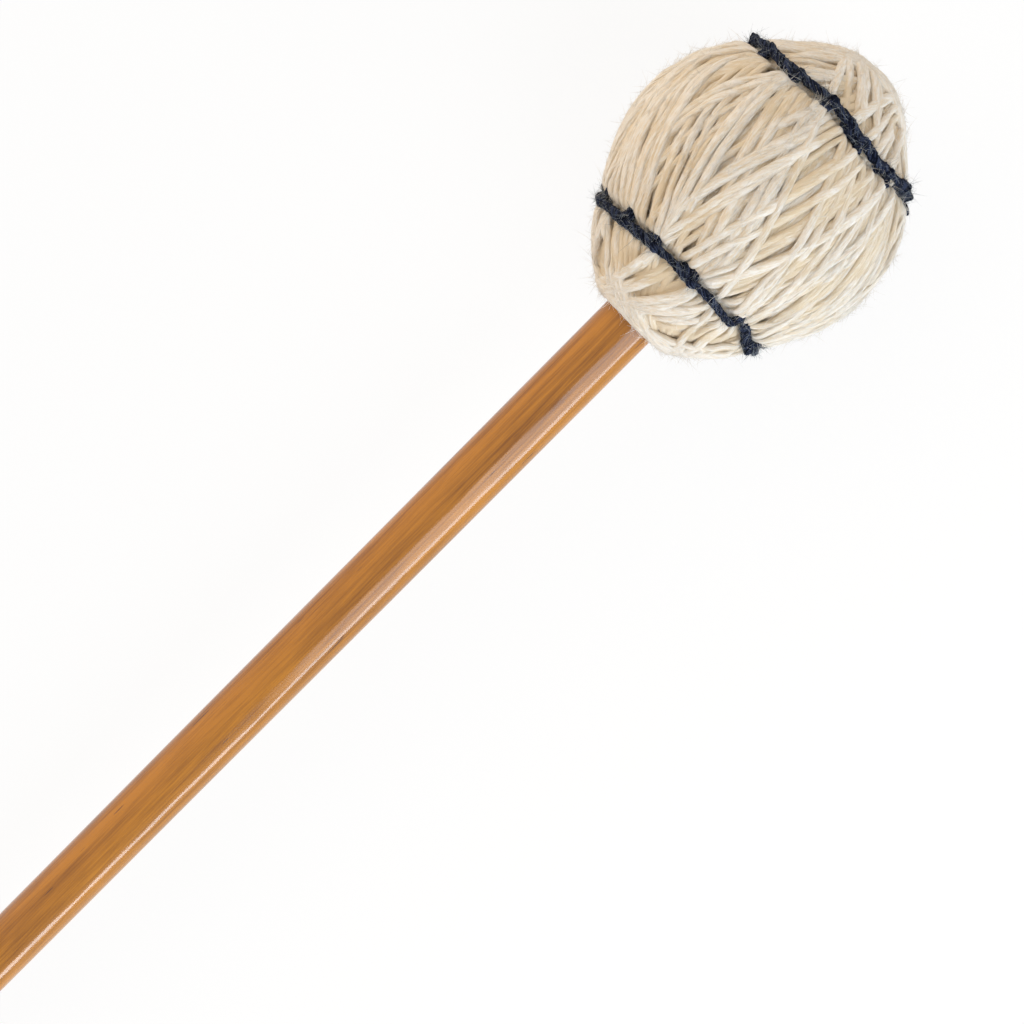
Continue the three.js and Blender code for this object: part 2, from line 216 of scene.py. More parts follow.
class MalletStageSettings(bpy.types.PropertyGroup):
    """The camera, the lights and the floor."""

    place: FloatVectorProperty(
        name="Camera place",
        description="Where the camera stands",
        subtype="TRANSLATION",
        default=(0.153339, -0.007999, 0.295688),
    )
    turn: FloatVectorProperty(
        name="Camera turn",
        description="How the camera is turned",
        subtype="EULER",
        default=(math.radians(-3.98249), math.radians(3.98904), math.radians(-45.02223)),
    )
    lens: FloatProperty(
        name="Lens", description="For a sensor of 36 mm", default=63.28, unit="CAMERA"
    )
    key: power("Key light", "The large soft box beside and above the mallet", 5.6)
    strip: power("Strip light", "The brighter, low part of the key light", 3.2)
    clear: colour("Key colour", "Of the soft box, a little cool", (0.86, 0.93, 1.0))
    sky: FloatProperty(name="Sky", description="Light from all round", default=0.70, min=0)
    floor: colour("Floor", "The pale floor", (0.86, 0.86, 0.86))
    warmth: colour("Warm light", "The sky on the far side", (1.0, 0.89, 0.76))
    cool: colour("Plain light", "The sky on the side of the key light", (1.0, 0.97, 0.94))


# Shader nodes


def node(tree, kind, inputs=None, **settings):
    """A new shader node. Each input gets a value, or the socket that feeds it."""
    made = tree.nodes.new(kind)
    for key, value in settings.items():
        setattr(made, key, value)
    for key, value in (inputs or {}).items():
        feed(tree, made.inputs[key], value)
    return made


def feed(tree, socket, value):
    if isinstance(value, bpy.types.NodeSocket):
        tree.links.new(value, socket)
    else:
        socket.default_value = value


def calc(tree, operation, *values):
    return node(tree, "ShaderNodeMath", dict(enumerate(values)), operation=operation).outputs[0]


def noise(tree, vector, scale, detail=3.0, roughness=0.5):
    inputs = {"Vector": vector, "Scale": scale, "Detail": detail, "Roughness": roughness}
    return node(tree, "ShaderNodeTexNoise", inputs).outputs["Fac"]


def span(tree, value, low, high, to_low=0.0, to_high=1.0):
    """A value brought from one span to another, and held inside it."""
    inputs = {"Value": value, 1: low, 2: high, 3: to_low, 4: to_high}
    return node(tree, "ShaderNodeMapRange", inputs).outputs["Result"]


def mixed(tree, share, first, second):
    """Two colours, or sockets, mixed by a share."""
    made = node(tree, "ShaderNodeMix", data_type="RGBA")
    feed(tree, made.inputs[0], share)
    for index, value in ((6, first), (7, second)):
        is_socket = isinstance(value, bpy.types.NodeSocket)
        feed(tree, made.inputs[index], value if is_socket else (*value, 1))
    return made.outputs[2]


def grain(tree, place, scales, detail=2.0, roughness=0.5):
    """Noise with a scale of its own along each axis."""
    inputs = {0: place, 1: scales}
    scaled = node(tree, "ShaderNodeVectorMath", inputs, operation="MULTIPLY").outputs[0]
    return noise(tree, scaled, 1.0, detail, roughness)


def object_place(tree):
    return node(tree, "ShaderNodeTexCoord").outputs["Object"]


def shaft_place(tree):
    """Object coordinates turned so that x runs up the shaft from the butt face."""
    turn = Euler((0, TILT, 0))
    inputs = {
        "Vector": object_place(tree),
        "Location": -(turn.to_matrix() @ BUTT_FACE),
        "Rotation": turn,
    }
    return node(tree, "ShaderNodeMapping", inputs).outputs[0]


def group_start(name, inputs, outputs):
    """A new node group with its sockets, and its two end nodes."""
    group = bpy.data.node_groups.new(name, "ShaderNodeTree")
    kinds = {float: "NodeSocketFloat", tuple: "NodeSocketVector"}
    for key, value in inputs.items():
        kind = kinds[type(value)]
        socket = group.interface.new_socket(key, in_out="INPUT", socket_type=kind)
        socket.default_value = value
    for key in outputs:
        group.interface.new_socket(key, in_out="OUTPUT", socket_type="NodeSocketFloat")
    return group, group.nodes.new("NodeGroupInput").outputs, group.nodes.new("NodeGroupOutput")


def fibre_group():
    """Fibres along a twisted strand, from its UV map: x is the length in millimetres
    and y goes once round."""
    name = "Twisted fibres"
    if name in bpy.data.node_groups:
        return bpy.data.node_groups[name]
    inputs = {"Strand": (0.0, 0.0, 0.0), "Twist": 0.15, "Fineness": 14.0}
    group, start, end = group_start(name, inputs, ("Fibres", "Wisps"))
    parts = node(group, "ShaderNodeSeparateXYZ", {0: start["Strand"]}).outputs
    spiral = calc(group, "MULTIPLY_ADD", parts[0], start["Twist"], parts[1])
    fine = calc(group, "MULTIPLY", spiral, start["Fineness"])
    short = calc(group, "MULTIPLY", parts[0], 0.5)
    place = node(group, "ShaderNodeCombineXYZ", {0: short, 1: fine}).outputs[0]
    feed(group, end.inputs["Fibres"], noise(group, place, 1.0, 5.0, 0.7))
    wide = calc(group, "MULTIPLY", spiral, 3.5)
    long = calc(group, "MULTIPLY", parts[0], 0.15)
    place = node(group, "ShaderNodeCombineXYZ", {0: long, 1: wide, 2: 5.0}).outputs[0]
    feed(group, end.inputs["Wisps"], noise(group, place, 1.0, 2.0))
    return group


def mottle_group():
    """Soft patches, and grains over them, in Object coordinates."""
    name = "Mottle"
    if name in bpy.data.node_groups:
        return bpy.data.node_groups[name]
    inputs = {"Place": (0.0, 0.0, 0.0), "Patch": 150.0, "Grain": 2500.0}
    group, start, end = group_start(name, inputs, ("Patches", "Grains"))
    patches = noise(group, start["Place"], start["Patch"])
    feed(group, end.inputs["Patches"], span(group, patches, 0.3, 0.7))
    feed(group, end.inputs["Grains"], noise(group, start["Place"], start["Grain"], 2.0))
    return group


def use_group(tree, group, **inputs):
    """The outputs of a node group placed in a tree, with its inputs."""
    return node(tree, "ShaderNodeGroup", inputs, node_tree=group).outputs


def new_material(name, values):
    """A new material, its tree and its Principled shader with constant values."""
    material = bpy.data.materials.new(name)
    material.use_nodes = True
    shader = material.node_tree.nodes["Principled BSDF"]
    for key, value in values.items():
        shader.inputs[key].default_value = value
    return material, material.node_tree, shader


def roughen(tree, shader, height, distance):
    """Bump on a shader, from a height and how many metres one unit of it is."""
    bump = node(tree, "ShaderNodeBump", {"Height": height, "Distance": distance})
    feed(tree, shader.inputs["Normal"], bump.outputs["Normal"])


# Materials


def rattan_material(colours):
    """Long streaks under a thick clear varnish, with short dark flecks."""
    values = {
        "Coat Weight": 1.0,
        "Coat Roughness": 0.17,
        "Coat IOR": 1.5,
        "Specular IOR Level": 0.0,
    }
    material, tree, shader = new_material("varnished_rattan", values)
    place = shaft_place(tree)
    fine = grain(tree, place, (130, 3600, 3600), 4.0, 0.65)
    streak = grain(tree, place, (22, 900, 900), 4.0, 0.55)
    broad = grain(tree, place, (7, 190, 190))
    patch = grain(tree, place, (45, 120, 120))
    total = calc(tree, "MULTIPLY", fine, 0.42)
    for part, weight in ((streak, 0.4), (broad, 0.45), (patch, 0.2)):
        total = calc(tree, "MULTIPLY_ADD", part, weight, total)
    wood = mixed(tree, span(tree, total, 0.61, 0.86), colours.dark, colours.light)
    marks = grain(tree, place, (120, 2000, 2000), 1.0)
    wood = mixed(tree, span(tree, marks, 0.75, 0.78), wood, colours.fleck)
    feed(tree, shader.inputs["Base Color"], wood)
    feed(tree, shader.inputs["Roughness"], span(tree, streak, 0.3, 0.7, 0.42, 0.58))
    wave = grain(tree, place, (60, 260, 260))
    height = calc(tree, "MULTIPLY_ADD", streak, 0.05, wave)
    roughen(tree, shader, height, 0.00012)
    bump = tree.nodes["Bump"]
    feed(tree, shader.inputs["Coat Normal"], bump.outputs["Normal"])
    return material


def end_grain_material(colours):
    """The bare cut of the rattan: pale wood with open pores."""
    material, tree, shader = new_material("rattan_end_grain", {"Roughness": 0.85})
    place = shaft_place(tree)
    inputs = {"Vector": place, "Scale": 1900.0}
    cells = node(tree, "ShaderNodeTexVoronoi", inputs, feature="F1").outputs["Distance"]
    pores = span(tree, cells, 0.12, 0.3, 1.0, 0.0)
    mottle = use_group(tree, mottle_group(), Place=place, Patch=500.0, Grain=6000.0)
    wood = mixed(tree, mottle["Grains"], colours.end_grain, colours.light)
    wood = mixed(tree, mottle["Patches"], wood, colours.end_grain)
    feed(tree, shader.inputs["Base Color"], mixed(tree, pores, wood, colours.pore))
    height = calc(tree, "SUBTRACT", calc(tree, "MULTIPLY", mottle["Grains"], 0.3), pores)
    roughen(tree, shader, height, 0.00008)
    return material


def strand_material(name, pale, deep, twist, streaks, sheen):
    """Wool fibres twisted along a strand, with painted shade: darker where the strand lies deep,
    and on its side that faces in.
    """
    values = {
        "Roughness": 0.92,
        "Sheen Weight": sheen,
        "Sheen Roughness": 0.6,
        "Specular IOR Level": sheen / 2,
    }
    material, tree, shader = new_material(name, values)
    strand = node(tree, "ShaderNodeUVMap", uv_map="strand").outputs["UV"]
    fibres = use_group(tree, fibre_group(), Strand=strand, Twist=twist, Fineness=11.0)
    # The depth attribute is painted shade: how deep the strand lies, and its side that faces in.
    depth = node(tree, "ShaderNodeAttribute", attribute_name="depth").outputs["Fac"]
    place = object_place(tree)
    mottle = use_group(tree, mottle_group(), Place=place, Patch=190.0, Grain=2600.0)
    share = calc(tree, "SUBTRACT", depth, 0.25)
    share = calc(tree, "MULTIPLY_ADD", mottle["Patches"], 0.15, share)
    share = calc(tree, "MULTIPLY_ADD", span(tree, fibres["Fibres"], 0.6, 0.4), streaks, share)
    share = calc(tree, "MULTIPLY_ADD", span(tree, fibres["Wisps"], 0.4, 0.6), 0.2, share)
    feed(tree, shader.inputs["Base Color"], mixed(tree, share, pale, deep))
    height = calc(tree, "MULTIPLY_ADD", fibres["Wisps"], 0.8, fibres["Fibres"])
    roughen(tree, shader, height, 0.00045)
    return material


def hair_material(name, dark, pale):
    """Single fibres, uneven in tone."""
    values = {"Roughness": 0.8, "Sheen Weight": 0.3, "Specular IOR Level": 0.3}
    material, tree, shader = new_material(name, values)
    place = object_place(tree)
    mottle = use_group(tree, mottle_group(), Place=place, Patch=900.0, Grain=4000.0)
    feed(tree, shader.inputs["Base Color"], mixed(tree, mottle["Patches"], dark, pale))
    return material


def packed_wool_material(colours):
    """Matted fibres that run from the collar to the crown, mixed from cream and the
    shade colour: the fibres' tone, and painted shade for wool that lies under the
    strands.
    """
    values = {"Roughness": 0.95, "Sheen Weight": 0.2, "Specular IOR Level": 0.1}
    material, tree, shader = new_material("packed_wool", values)
    place = shaft_place(tree)
    fibres = grain(tree, place, (120, 1500, 1500), 5.0, 0.65)
    mottle = use_group(tree, mottle_group(), Place=place, Patch=400.0)
    # Leans to the shade colour: painted shade, with the fibres' tone over it.
    share = calc(tree, "MULTIPLY_ADD", mottle["Patches"], 0.3, span(tree, fibres, 0.6, 0.4))
    feed(tree, shader.inputs["Base Color"], mixed(tree, share, colours.cream, colours.shade))
    roughen(tree, shader, fibres, 0.0012)
    return material


def mottled_material(name, pale, deep, values, bump_distance):
    """A plain finish with soft patches and a fine grain."""
    material, tree, shader = new_material(name, values)
    mottle = use_group(tree, mottle_group(), Place=object_place(tree))
    feed(tree, shader.inputs["Base Color"], mixed(tree, mottle["Patches"], deep, pale))
    rough = values["Roughness"]
    spread = span(tree, mottle["Grains"], 0.3, 0.7, rough - 0.1, rough + 0.1)
    feed(tree, shader.inputs["Roughness"], spread)
    roughen(tree, shader, mottle["Grains"], bump_distance)
    return material


# Lines and the head's surface


def unit(rows):
    """The same ways, each of length 1."""
    return rows / np.linalg.norm(rows, axis=1, keepdims=True)


def distances(line):
    """How far along a line its points are."""
    return np.r_[0, np.cumsum(np.linalg.norm(np.diff(line, axis=0), axis=1))]


def evened(line, spacing):
    """The same line with its points at an even spacing."""
    far = distances(line[:, :3])
    at = np.linspace(0, far[-1], max(3, round(far[-1] / spacing) + 1))
    return np.column_stack([np.interp(at, far, part) for part in line.T])


def smooth_line(points, spacing):
    """A smooth line through points, at an even spacing."""
    points = np.asarray(points, float)
    chord = distances(points)
    slope = np.gradient(points, chord, axis=0)
    at = np.arange(0, chord[-1], spacing / 4)
    i = np.clip(np.searchsorted(chord, at, "right") - 1, 0, len(chord) - 2)
    run = (chord[i + 1] - chord[i])[:, None]
    w = (at - chord[i])[:, None] / run
    line = (1 + 2 * w) * (1 - w) ** 2 * points[i] + w * w * (3 - 2 * w) * points[i + 1]
    line += w * (1 - w) * run * ((1 - w) * slope[i] - w * slope[i + 1])
    return evened(line, spacing)


def softened(values, reach):
    """A row of values smoothed over a reach, in steps."""
    wide = int(3 * reach) + 1
    weights = np.exp(-0.5 * (np.arange(-wide, wide + 1) / reach) ** 2)
    padded = np.pad(values, wide, mode="edge")
    return np.convolve(padded, weights / weights.sum(), mode="valid")


class HeadSurface:
    """The yarn's outer surface, as a line from the mouth to the tip. A place on it is
    its distance along that line."""

    def __init__(self):
        line = smooth_line(OUTLINE, 0.1)
        line = line[: np.argmax(line[:, 1] < 0)]
        self.far = distances(line)
        heading = np.gradient(line, self.far, axis=0)
        self.along, self.radius = line.T
        self.swell = heading[:, 1]
        self.out_along, self.out_radius = -heading[:, 1], heading[:, 0]
        self.end = self.far[-1]
        self.collar, self.crown = (self.place_of(RINGS[name].along) for name in ("collar", "crown"))

    def place_of(self, along):
        return np.interp(along, self.along, self.far)

    def value(self, table, place):
        return np.interp(place, self.far, table)

    def points(self, place, angle, height):
        """Points over the surface, in the mallet's frame, and the ways out of it."""
        out_along = self.value(self.out_along, place)
        out_radius = self.value(self.out_radius, place)
        along = MOUTH + self.value(self.along, place) + out_along * height
        radius = self.value(self.radius, place) + out_radius * height
        turn = -np.sin(angle), np.cos(angle)
        centre = np.column_stack([along, radius * turn[0], radius * turn[1]])
        out = np.column_stack([out_along, out_radius * turn[0], out_radius * turn[1]])
        return centre, out


# Winding the yarn

WALK = 0.25  # one step along a wrap while it is traced
STRAND_STEP = 0.6  # between the rings of a strand's mesh
SOFT_REACH = 2.4  # how far a strand's height is evened, in rings
PACKED = 0.82  # how close the centres of two strands come, in diameters
CINCH_DEPTH = 1.4  # of the yarn under the stitched rings
CINCH_REACH = 1.25
TOP_REACH = 2.2  # how far round a point the winding is judged
TOP_POWER = 6
RISE = 0.22  # the most that a strand stands over the others
SINK = 0.36  # how deep the strands under the top ones lie, of their laid depth
CAP_SINKS = 0.72, 0.58  # the same beyond the collar ring and beyond the crown ring
DEEPEST = 0.43  # the most that a strand of the belly lies under the top ones
SETTLE = 0.25  # of the whole surface, so that the highest strands reach the outline
FLOOR_EASE = 0.45  # how high above the floor the yarn starts to flatten
MOST_STEPS = 3000  # of one wrap
GRIP = (6, 15), (0.4, 0.72)  # radii, and how much of a crossing's rise is kept there
TAIL = 6  # rings at the end of a wrap that the next one runs on from, not over
JOIN = 5  # rings over which a wrap leaves the height of the one before
HOLD = 1.3, 0.4  # how tightly a ring holds the strands level, and of that, the deep ones
DARKEST = 0.7  # how deep a strand lies where its painted shade is at its darkest
SHAFT_CLEAR = 0.55  # from a strand's centre to the shaft, of the strand's radius
TALL = 0.9, 0.25, 0.07  # of the strand's radius, what a stitched ring takes off, and
WIDE = 1.15, 0.16, 0.12  # how uneven it is
END_TAPER = 0.6  # over which a strand narrows at its ends
GATHER = 0.45  # how strongly a ring draws the strands towards its stitches
GATHER_REACHES = 5.0, 2.6  # of that, over the belly and over the cap
LEANS = 1.4, 5.5  # at the rings, the radii at which a wrap would run straight across
LEAN_ODDS = 0.7, 0.3
LEAN_SPREAD = -1, 1.2  # how the leans vary from bundle to bundle
LEAN_LIMITS = 0.3, 7
FIRST_REACH = 6.5  # the radius at which the winding starts
MOUTH_SPAN = 5.2, 3.2  # where a wrap passes the shaft: least radius, and how it varies
MOUTH_STEP = 0.9  # from one wrap of a bundle to the next
CROWN_SPAN = 0.9, 7.0  # the radii at which the bundles pass over the crown at first
CROWN_LIMITS = 0.9, 8.2
BESIDE = 1.0, 1.5  # from one wrap of a bundle to the next on the belly, in strands


def wrap_line(head, reaches, crown_reach, leans):
    """One wrap, from where it passes the shaft, over the crown and back, as rows of
    place and angle. A taut yarn keeps its turning moment on a round body, so the
    nearer it comes to the axis, the more it turns. The moment is the radius at which
    it runs straight across."""
    half = len(head.far) // 2
    place = float(np.interp(reaches[0], head.radius[:half], head.far[:half]))
    places = (0, head.collar, head.crown, head.end)
    bends = []
    for reach, lean in zip(reaches, leans):
        moment = np.interp(head.far, places, (reach, lean, lean, crown_reach))
        bend = np.gradient(moment, head.far) * head.radius - moment * head.swell
        bends.append(bend / np.maximum(head.radius, 0.5) ** 2)
    angle, slope, over = 0.0, math.pi / 2, False
    line = [(place, angle)]
    while not (over and slope < math.pi / 2) and len(line) < MOST_STEPS:
        row = min(int(place / head.end * len(head.far)), len(head.far) - 1)
        slope += WALK * bends[over][row]
        place = min(max(place + WALK * math.cos(slope), 0.0), head.end - 0.1)
        angle += WALK * math.sin(slope) / max(head.radius[row], 0.5)
        line.append((place, angle))
        over = over or slope > math.pi / 2
    return np.array(line)


def gathered(head, place, angle):
    """Angles of a strand's points once each ring has drawn the strands towards its
    stitches, and how strongly it does so at each point."""
    pull = np.zeros(len(place))
    for ring in RINGS.values():
        off = (place - head.place_of(ring.at(angle))) * ring.towards
        near = np.exp(-((off / np.where(off > 0, *GATHER_REACHES)) ** 2))
        edges = np.radians(ring.stitches)
        edges = np.r_[edges[-1] - math.tau, edges, edges[0] + math.tau]
        turn = np.mod(angle, math.tau)
        i = np.searchsorted(edges, turn, "right") - 1
        gap = edges[i + 1] - edges[i]
        share = (turn - edges[i]) / gap
        angle = angle - GATHER * near * gap * np.sin(math.tau * share) / math.tau
        pull = np.maximum(pull, near)
    return angle, pull


def wound_yarn(head, yarn):
    """The whole winding as wraps, in the order in which they are wound: rows of place
    and angle. The wraps of a bundle lie side by side, and from one bundle to the next
    the yarn runs on round the shaft."""
    random = np.random.default_rng(yarn.seed)
    side_by_side = yarn.diameter / MM / head.radius.max()
    wraps, angle, reach = [], 0.0, FIRST_REACH
    for layer, bundles in (("buried", yarn.buried), ("outer", yarn.bundles)):
        strides = range(max(2, bundles // 4), bundles)
        stride = next(k for k in strides if math.gcd(k, bundles) == 1)
        for bundle in range(bundles):
            aim = math.tau * (bundle * stride % bundles + random.uniform(-0.2, 0.2)) / bundles
            bundle_leans = random.choice(LEANS, 2, p=LEAN_ODDS)
            bundle_leans = bundle_leans + random.uniform(*LEAN_SPREAD, 2)
            crown_reach, mouth_reach = random.uniform(*CROWN_SPAN), random.uniform(0, 3)
            for wrap in range(random.integers(1, 2 * yarn.wraps)):
                further = (mouth_reach + MOUTH_STEP * wrap) % MOUTH_SPAN[1]
                leans = np.clip(bundle_leans + random.normal(0, 0.3, 2), *LEAN_LIMITS)
                crown_reach = np.clip(crown_reach + random.normal(0.5, 0.5), *CROWN_LIMITS)
                line = wrap_line(head, (reach, MOUTH_SPAN[0] + further), crown_reach, leans)
                advance = math.tau + side_by_side * random.uniform(*BESIDE)
                line[:, 1] += np.linspace(0, advance - line[-1, 1], len(line))
                if wrap == 0:
                    turn = (aim - angle) % math.tau
                    steps = max(2, int(turn * reach / WALK))
                    turned = np.linspace(0, turn, steps)
                    lead = np.column_stack([np.full(steps, line[0, 0]), turned])
                    line[:, 1] += turn
                    line = np.vstack([lead[:-1], line])
                line[:, 1] += angle
                angle = line[-1, 1] % math.tau
                reach = float(head.value(head.radius, line[-1, 0]))
                wraps.append((layer, line))
    return wraps


def spaced_wrap(head, line):
    """A wrap with its points at the spacing of its mesh rings, and drawn in at the
    rings of stitches."""
    flat, _ = head.points(line[:, 0], line[:, 1], 0)
    line = evened(np.column_stack([flat, line]), STRAND_STEP)[:, 3:]
    angle, pull = gathered(head, line[:, 0], line[:, 1])
    return line[:, 0], angle, pull


def lay_yarn(head, yarn):
    """Lays the wraps on each other. Each strand rises over those under it, and its
    tension evens the rise. Returns the wraps as dicts of their rows."""
    random = np.random.default_rng(yarn.seed + 1)
    thick = yarn.diameter / MM
    close = (PACKED * thick) ** 2
    spots, tops = np.zeros((0, 3), np.float32), np.zeros(0, np.float32)
    strands, last_height = [], 0.0
    tail = None
    for layer, line in wound_yarn(head, yarn):
        place, angle, pull = spaced_wrap(head, line)
        spot = head.points(place, angle, 0)[0].astype(np.float32)
        lift = np.zeros(len(place))
        if len(spots):
            apart = (spot**2).sum(1)[:, None] + (spots**2).sum(1) - 2 * spot @ spots.T
            grip = np.interp(head.value(head.radius, place), *GRIP)
            rise = np.sqrt(np.maximum(close - apart, 0)) * grip[:, None]
            lift = np.where(apart < close, tops + rise, 0).max(1)
        wide = np.maximum(np.maximum(np.roll(lift, 1), np.roll(lift, -1)), lift)
        wide[0], wide[-1] = lift[0], lift[-1]
        height = softened(wide, SOFT_REACH)
        fade = np.exp(-np.arange(len(height)) / JOIN)
        height += fade * (last_height - height[0])
        last_height = height[-1]
        strands.append(
            {
                "layer": layer,
                "place": place,
                "angle": angle,
                "pull": pull,
                "height": height,
                "phase": random.uniform(0, math.tau),
                "wobble": softened(random.normal(0, 1, len(place)), 6) * 4,
            }
        )
        if tail is not None:
            spots, tops = np.vstack([spots, tail[0]]), np.r_[tops, tail[1]]
        spots, tops = np.vstack([spots, spot[:-TAIL]]), np.r_[tops, height[:-TAIL]]
        tail = spot[-TAIL:], height[-TAIL:]
    return strands


def local_top(spots, heights):
    """How high the winding stands round each point: a mean of the heights near it that
    leans towards the highest."""
    near = spots[::2].astype(np.float32)
    lifted = (heights[::2] + 0.5).astype(np.float32) ** TOP_POWER
    tops = []
    for part in np.array_split(spots.astype(np.float32), max(1, len(spots) // 800)):
        apart = (part**2).sum(1)[:, None] + (near**2).sum(1) - 2 * part @ near.T
        weight = np.exp(apart / (-2 * TOP_REACH**2))
        tops.append((weight @ lifted / weight.sum(1)) ** (1 / TOP_POWER) - 0.5)
    return np.concatenate(tops)


def settle_yarn(head, strands, yarn, shaft_radius):
    """Presses the laid strands into each other, so that the top of the winding meets
    the head's surface, drawn in under the two rings of stitches. Adds each strand's
    centres, ways out, sizes and depth, the last of which sets its painted shade."""
    spots = np.vstack([head.points(s["place"], s["angle"], 0)[0] for s in strands])
    tops = local_top(spots, np.concatenate([s["height"] for s in strands]))
    radius, first = yarn.diameter / MM / 2, 0
    for strand in strands:
        place = strand["place"]
        level = strand["height"] - tops[first : first + len(place)]
        first += len(place)
        sink = np.select([place < head.collar, place > head.crown], CAP_SINKS, SINK)
        deepest = DEEPEST * sink / SINK
        risen, sunk = RISE * np.tanh(level / RISE), deepest * np.tanh(level * sink / deepest)
        level = np.where(level > 0, risen, sunk)
        cinch = np.zeros(len(place))
        for ring in RINGS.values():
            off = place - head.place_of(ring.at(strand["angle"]))
            cinch += np.exp(-((off / CINCH_REACH) ** 2))
        tall, wide = (
            radius * share * (1 - drawn * strand["pull"]) * (1 + uneven * strand["wobble"])
            for share, drawn, uneven in (TALL, WIDE)
        )
        held = np.minimum(HOLD[0] * cinch, 1)
        level = level * np.where(level > 0, 1 - held, 1 - HOLD[1] * held)
        offset = level - SETTLE - tall - CINCH_DEPTH * cinch
        centre, out = head.points(place, strand["angle"], offset)
        across = np.maximum(np.hypot(centre[:, 1], centre[:, 2]), 0.01)
        clear = np.maximum((shaft_radius + SHAFT_CLEAR * radius) / across, 1)
        clear = np.where(place < head.collar, clear, 1)
        centre[:, 1:] *= clear[:, None]
        strand.update(centre=centre, out=out, tall=tall, wide=wide)
        # Painted shade: the deeper a strand lies under the top ones, the darker it is drawn.
        strand["depth"] = np.clip(-level / DARKEST, 0, 1)


# Meshes of strands, thread and hairs

HAIR_TAPER = 1, 0.8, 0.15  # at its three rings
HAIR_ROOT = 0.00005  # how deep it starts in its strand


def lifted_off_floor(points):
    """World points pressed flat where they would go through the floor."""
    ease = FLOOR_EASE * MM
    low = points[:, 2] < ease
    points[low, 2] = ease * np.exp(points[low, 2] / ease - 1)
    return points


def tube_rings(strand, sides, twist, ply):
    """The points of a strand's rings: an oval with uneven plies that turn along it,
    and narrow ends. Also each point's painted shade, which is most on the side that
    faces in."""
    centre, out = strand["centre"], strand["out"]
    along = unit(np.gradient(centre, axis=0))
    across = unit(np.cross(along, out))
    out = np.cross(across, along)
    far = distances(centre)
    ends = np.minimum(far, far[-1] - far)
    narrow = np.sqrt(np.clip(ends / END_TAPER, 0.06, 1))
    turn = np.arange(sides) / sides * math.tau
    turned = math.tau * twist * far + strand["phase"] + 0.5 * strand["wobble"]
    spin = turn + turned[:, None]
    plies = 1 + ply * (np.cos(3 * spin) + 0.7 * np.cos(5 * spin + 2 * strand["phase"]))
    sideways = (strand["wide"] * narrow)[:, None] * plies * np.sin(turn)
    outwards = (strand["tall"] * narrow)[:, None] * plies * -np.cos(turn)
    rings = centre[:, None] + across[:, None] * sideways[..., None]
    rings = rings + out[:, None] * outwards[..., None]
    # Painted shade, most on the side of the strand that faces in.
    return rings, far, np.broadcast_to(0.15 * (1 + np.cos(turn)), plies.shape)


def tube_faces(rows, sides):
    """The quads of a closed tube of rings, and its two ends."""
    k, i = np.meshgrid(np.arange(sides), np.arange(rows - 1))
    i, k = i.ravel() * sides, k.ravel()
    beside = (k + 1) % sides
    quads = np.column_stack([i + k, i + sides + k, i + sides + beside, i + beside])
    return quads, (np.arange(sides), np.arange(rows * sides - 1, (rows - 1) * sides - 1, -1))


def strand_object(name, strands, sides, twist, ply):
    """One mesh of closed tubes, with a UV map along them and their depth, which
    carries their painted shade.
    """
    points, faces, uvs, depths, first = [], [], [], [], 0
    for strand in strands:
        rings, far, under = tube_rings(strand, sides, twist, ply)
        quads, ends = tube_faces(len(far), sides)
        faces += (quads + first).tolist()
        faces += [(end + first).tolist() for end in ends]
        i, k = np.divmod(quads[:, 0], sides)
        start, last = [far[i], k / sides], [far[i + 1], (k + 1) / sides]
        corners = [start[0], start[1], last[0], start[1], last[0], last[1], start[0], last[1]]
        uvs.append(np.column_stack(corners).ravel())
        uvs.append(np.zeros(4 * sides))
        points.append(rings.reshape(-1, 3))
        # Painted shade: how deep the strand lies, and more on its side that faces in.
        depths.append((strand["depth"][:, None] + under).ravel())
        first += len(far) * sides
    mesh = bpy.data.meshes.new(name)
    mesh.from_pydata(lifted_off_floor(to_world(np.vstack(points))), [], faces)
    mesh.uv_layers.new(name="strand").data.foreach_set("uv", np.concatenate(uvs))
    attribute = mesh.attributes.new("depth", "FLOAT", "POINT")
    attribute.data.foreach_set("value", np.concatenate(depths))
    return linked(name, mesh)


def linked(name, mesh):
    """A new object in the scene, shaded smooth."""
    piece = bpy.data.objects.new(name, mesh)
    bpy.context.collection.objects.link(piece)
    mesh.shade_smooth()
    return piece


def hair_object(name, spots, random, longest, thick, stray, lift, curl):
    """Thin curved hairs with three sides, rooted at spots on strands. They run along
    theirs but for how much they stray, and rise off it by up to the lift."""
    roots, outs, alongs = spots
    total, steps = len(roots), len(HAIR_TAPER)
    way = random.choice((-1, 1), (total, 1))
    loose = random.normal(0, stray, (total, 3)) + alongs * way
    loose -= 0.8 * outs * (loose * outs).sum(1, keepdims=True)
    start = unit(unit(loose) + outs * lift * random.uniform(0, 1, (total, 1)) ** 2)
    bend = random.normal(0, curl, (total, 3)) - outs * random.uniform(0, curl, (total, 1))
    size = longest * random.beta(1.6, 3.2, (total, 1, 1))
    t = np.linspace(0, 1, steps)[:, None]
    line = roots[:, None] + size * (start[:, None] * t + bend[:, None] * t**2)
    line -= outs[:, None] * HAIR_ROOT
    beside = unit(np.cross(start, outs + 0.01))
    above = np.cross(beside, start)
    turn = np.arange(3) / 3 * math.tau
    ring = beside[:, None] * np.cos(turn)[:, None] + above[:, None] * np.sin(turn)[:, None]
    taper = thick * np.array(HAIR_TAPER)
    points = line[:, :, None] + ring[:, None] * taper[:, None, None]
    quads, ends = tube_faces(steps, 3)
    quads = np.roll(quads[:, ::-1], 1, axis=1)
    starts = np.arange(total)[:, None] * 3 * steps
    faces = (quads.ravel() + starts).reshape(-1, 4).tolist()
    for end in ends:
        faces += (end[::-1] + starts).tolist()
    mesh = bpy.data.meshes.new(name)
    mesh.from_pydata(lifted_off_floor(points.reshape(-1, 3)), [], faces)
    return linked(name, mesh)


def read(items, key, wide=1, kind=float):
    """One property of all the items of a mesh, as rows where it is wide."""
    values = np.zeros(wide * len(items), kind)
    items.foreach_get(key, values)
    return values.reshape(-1, wide) if wide > 1 else values


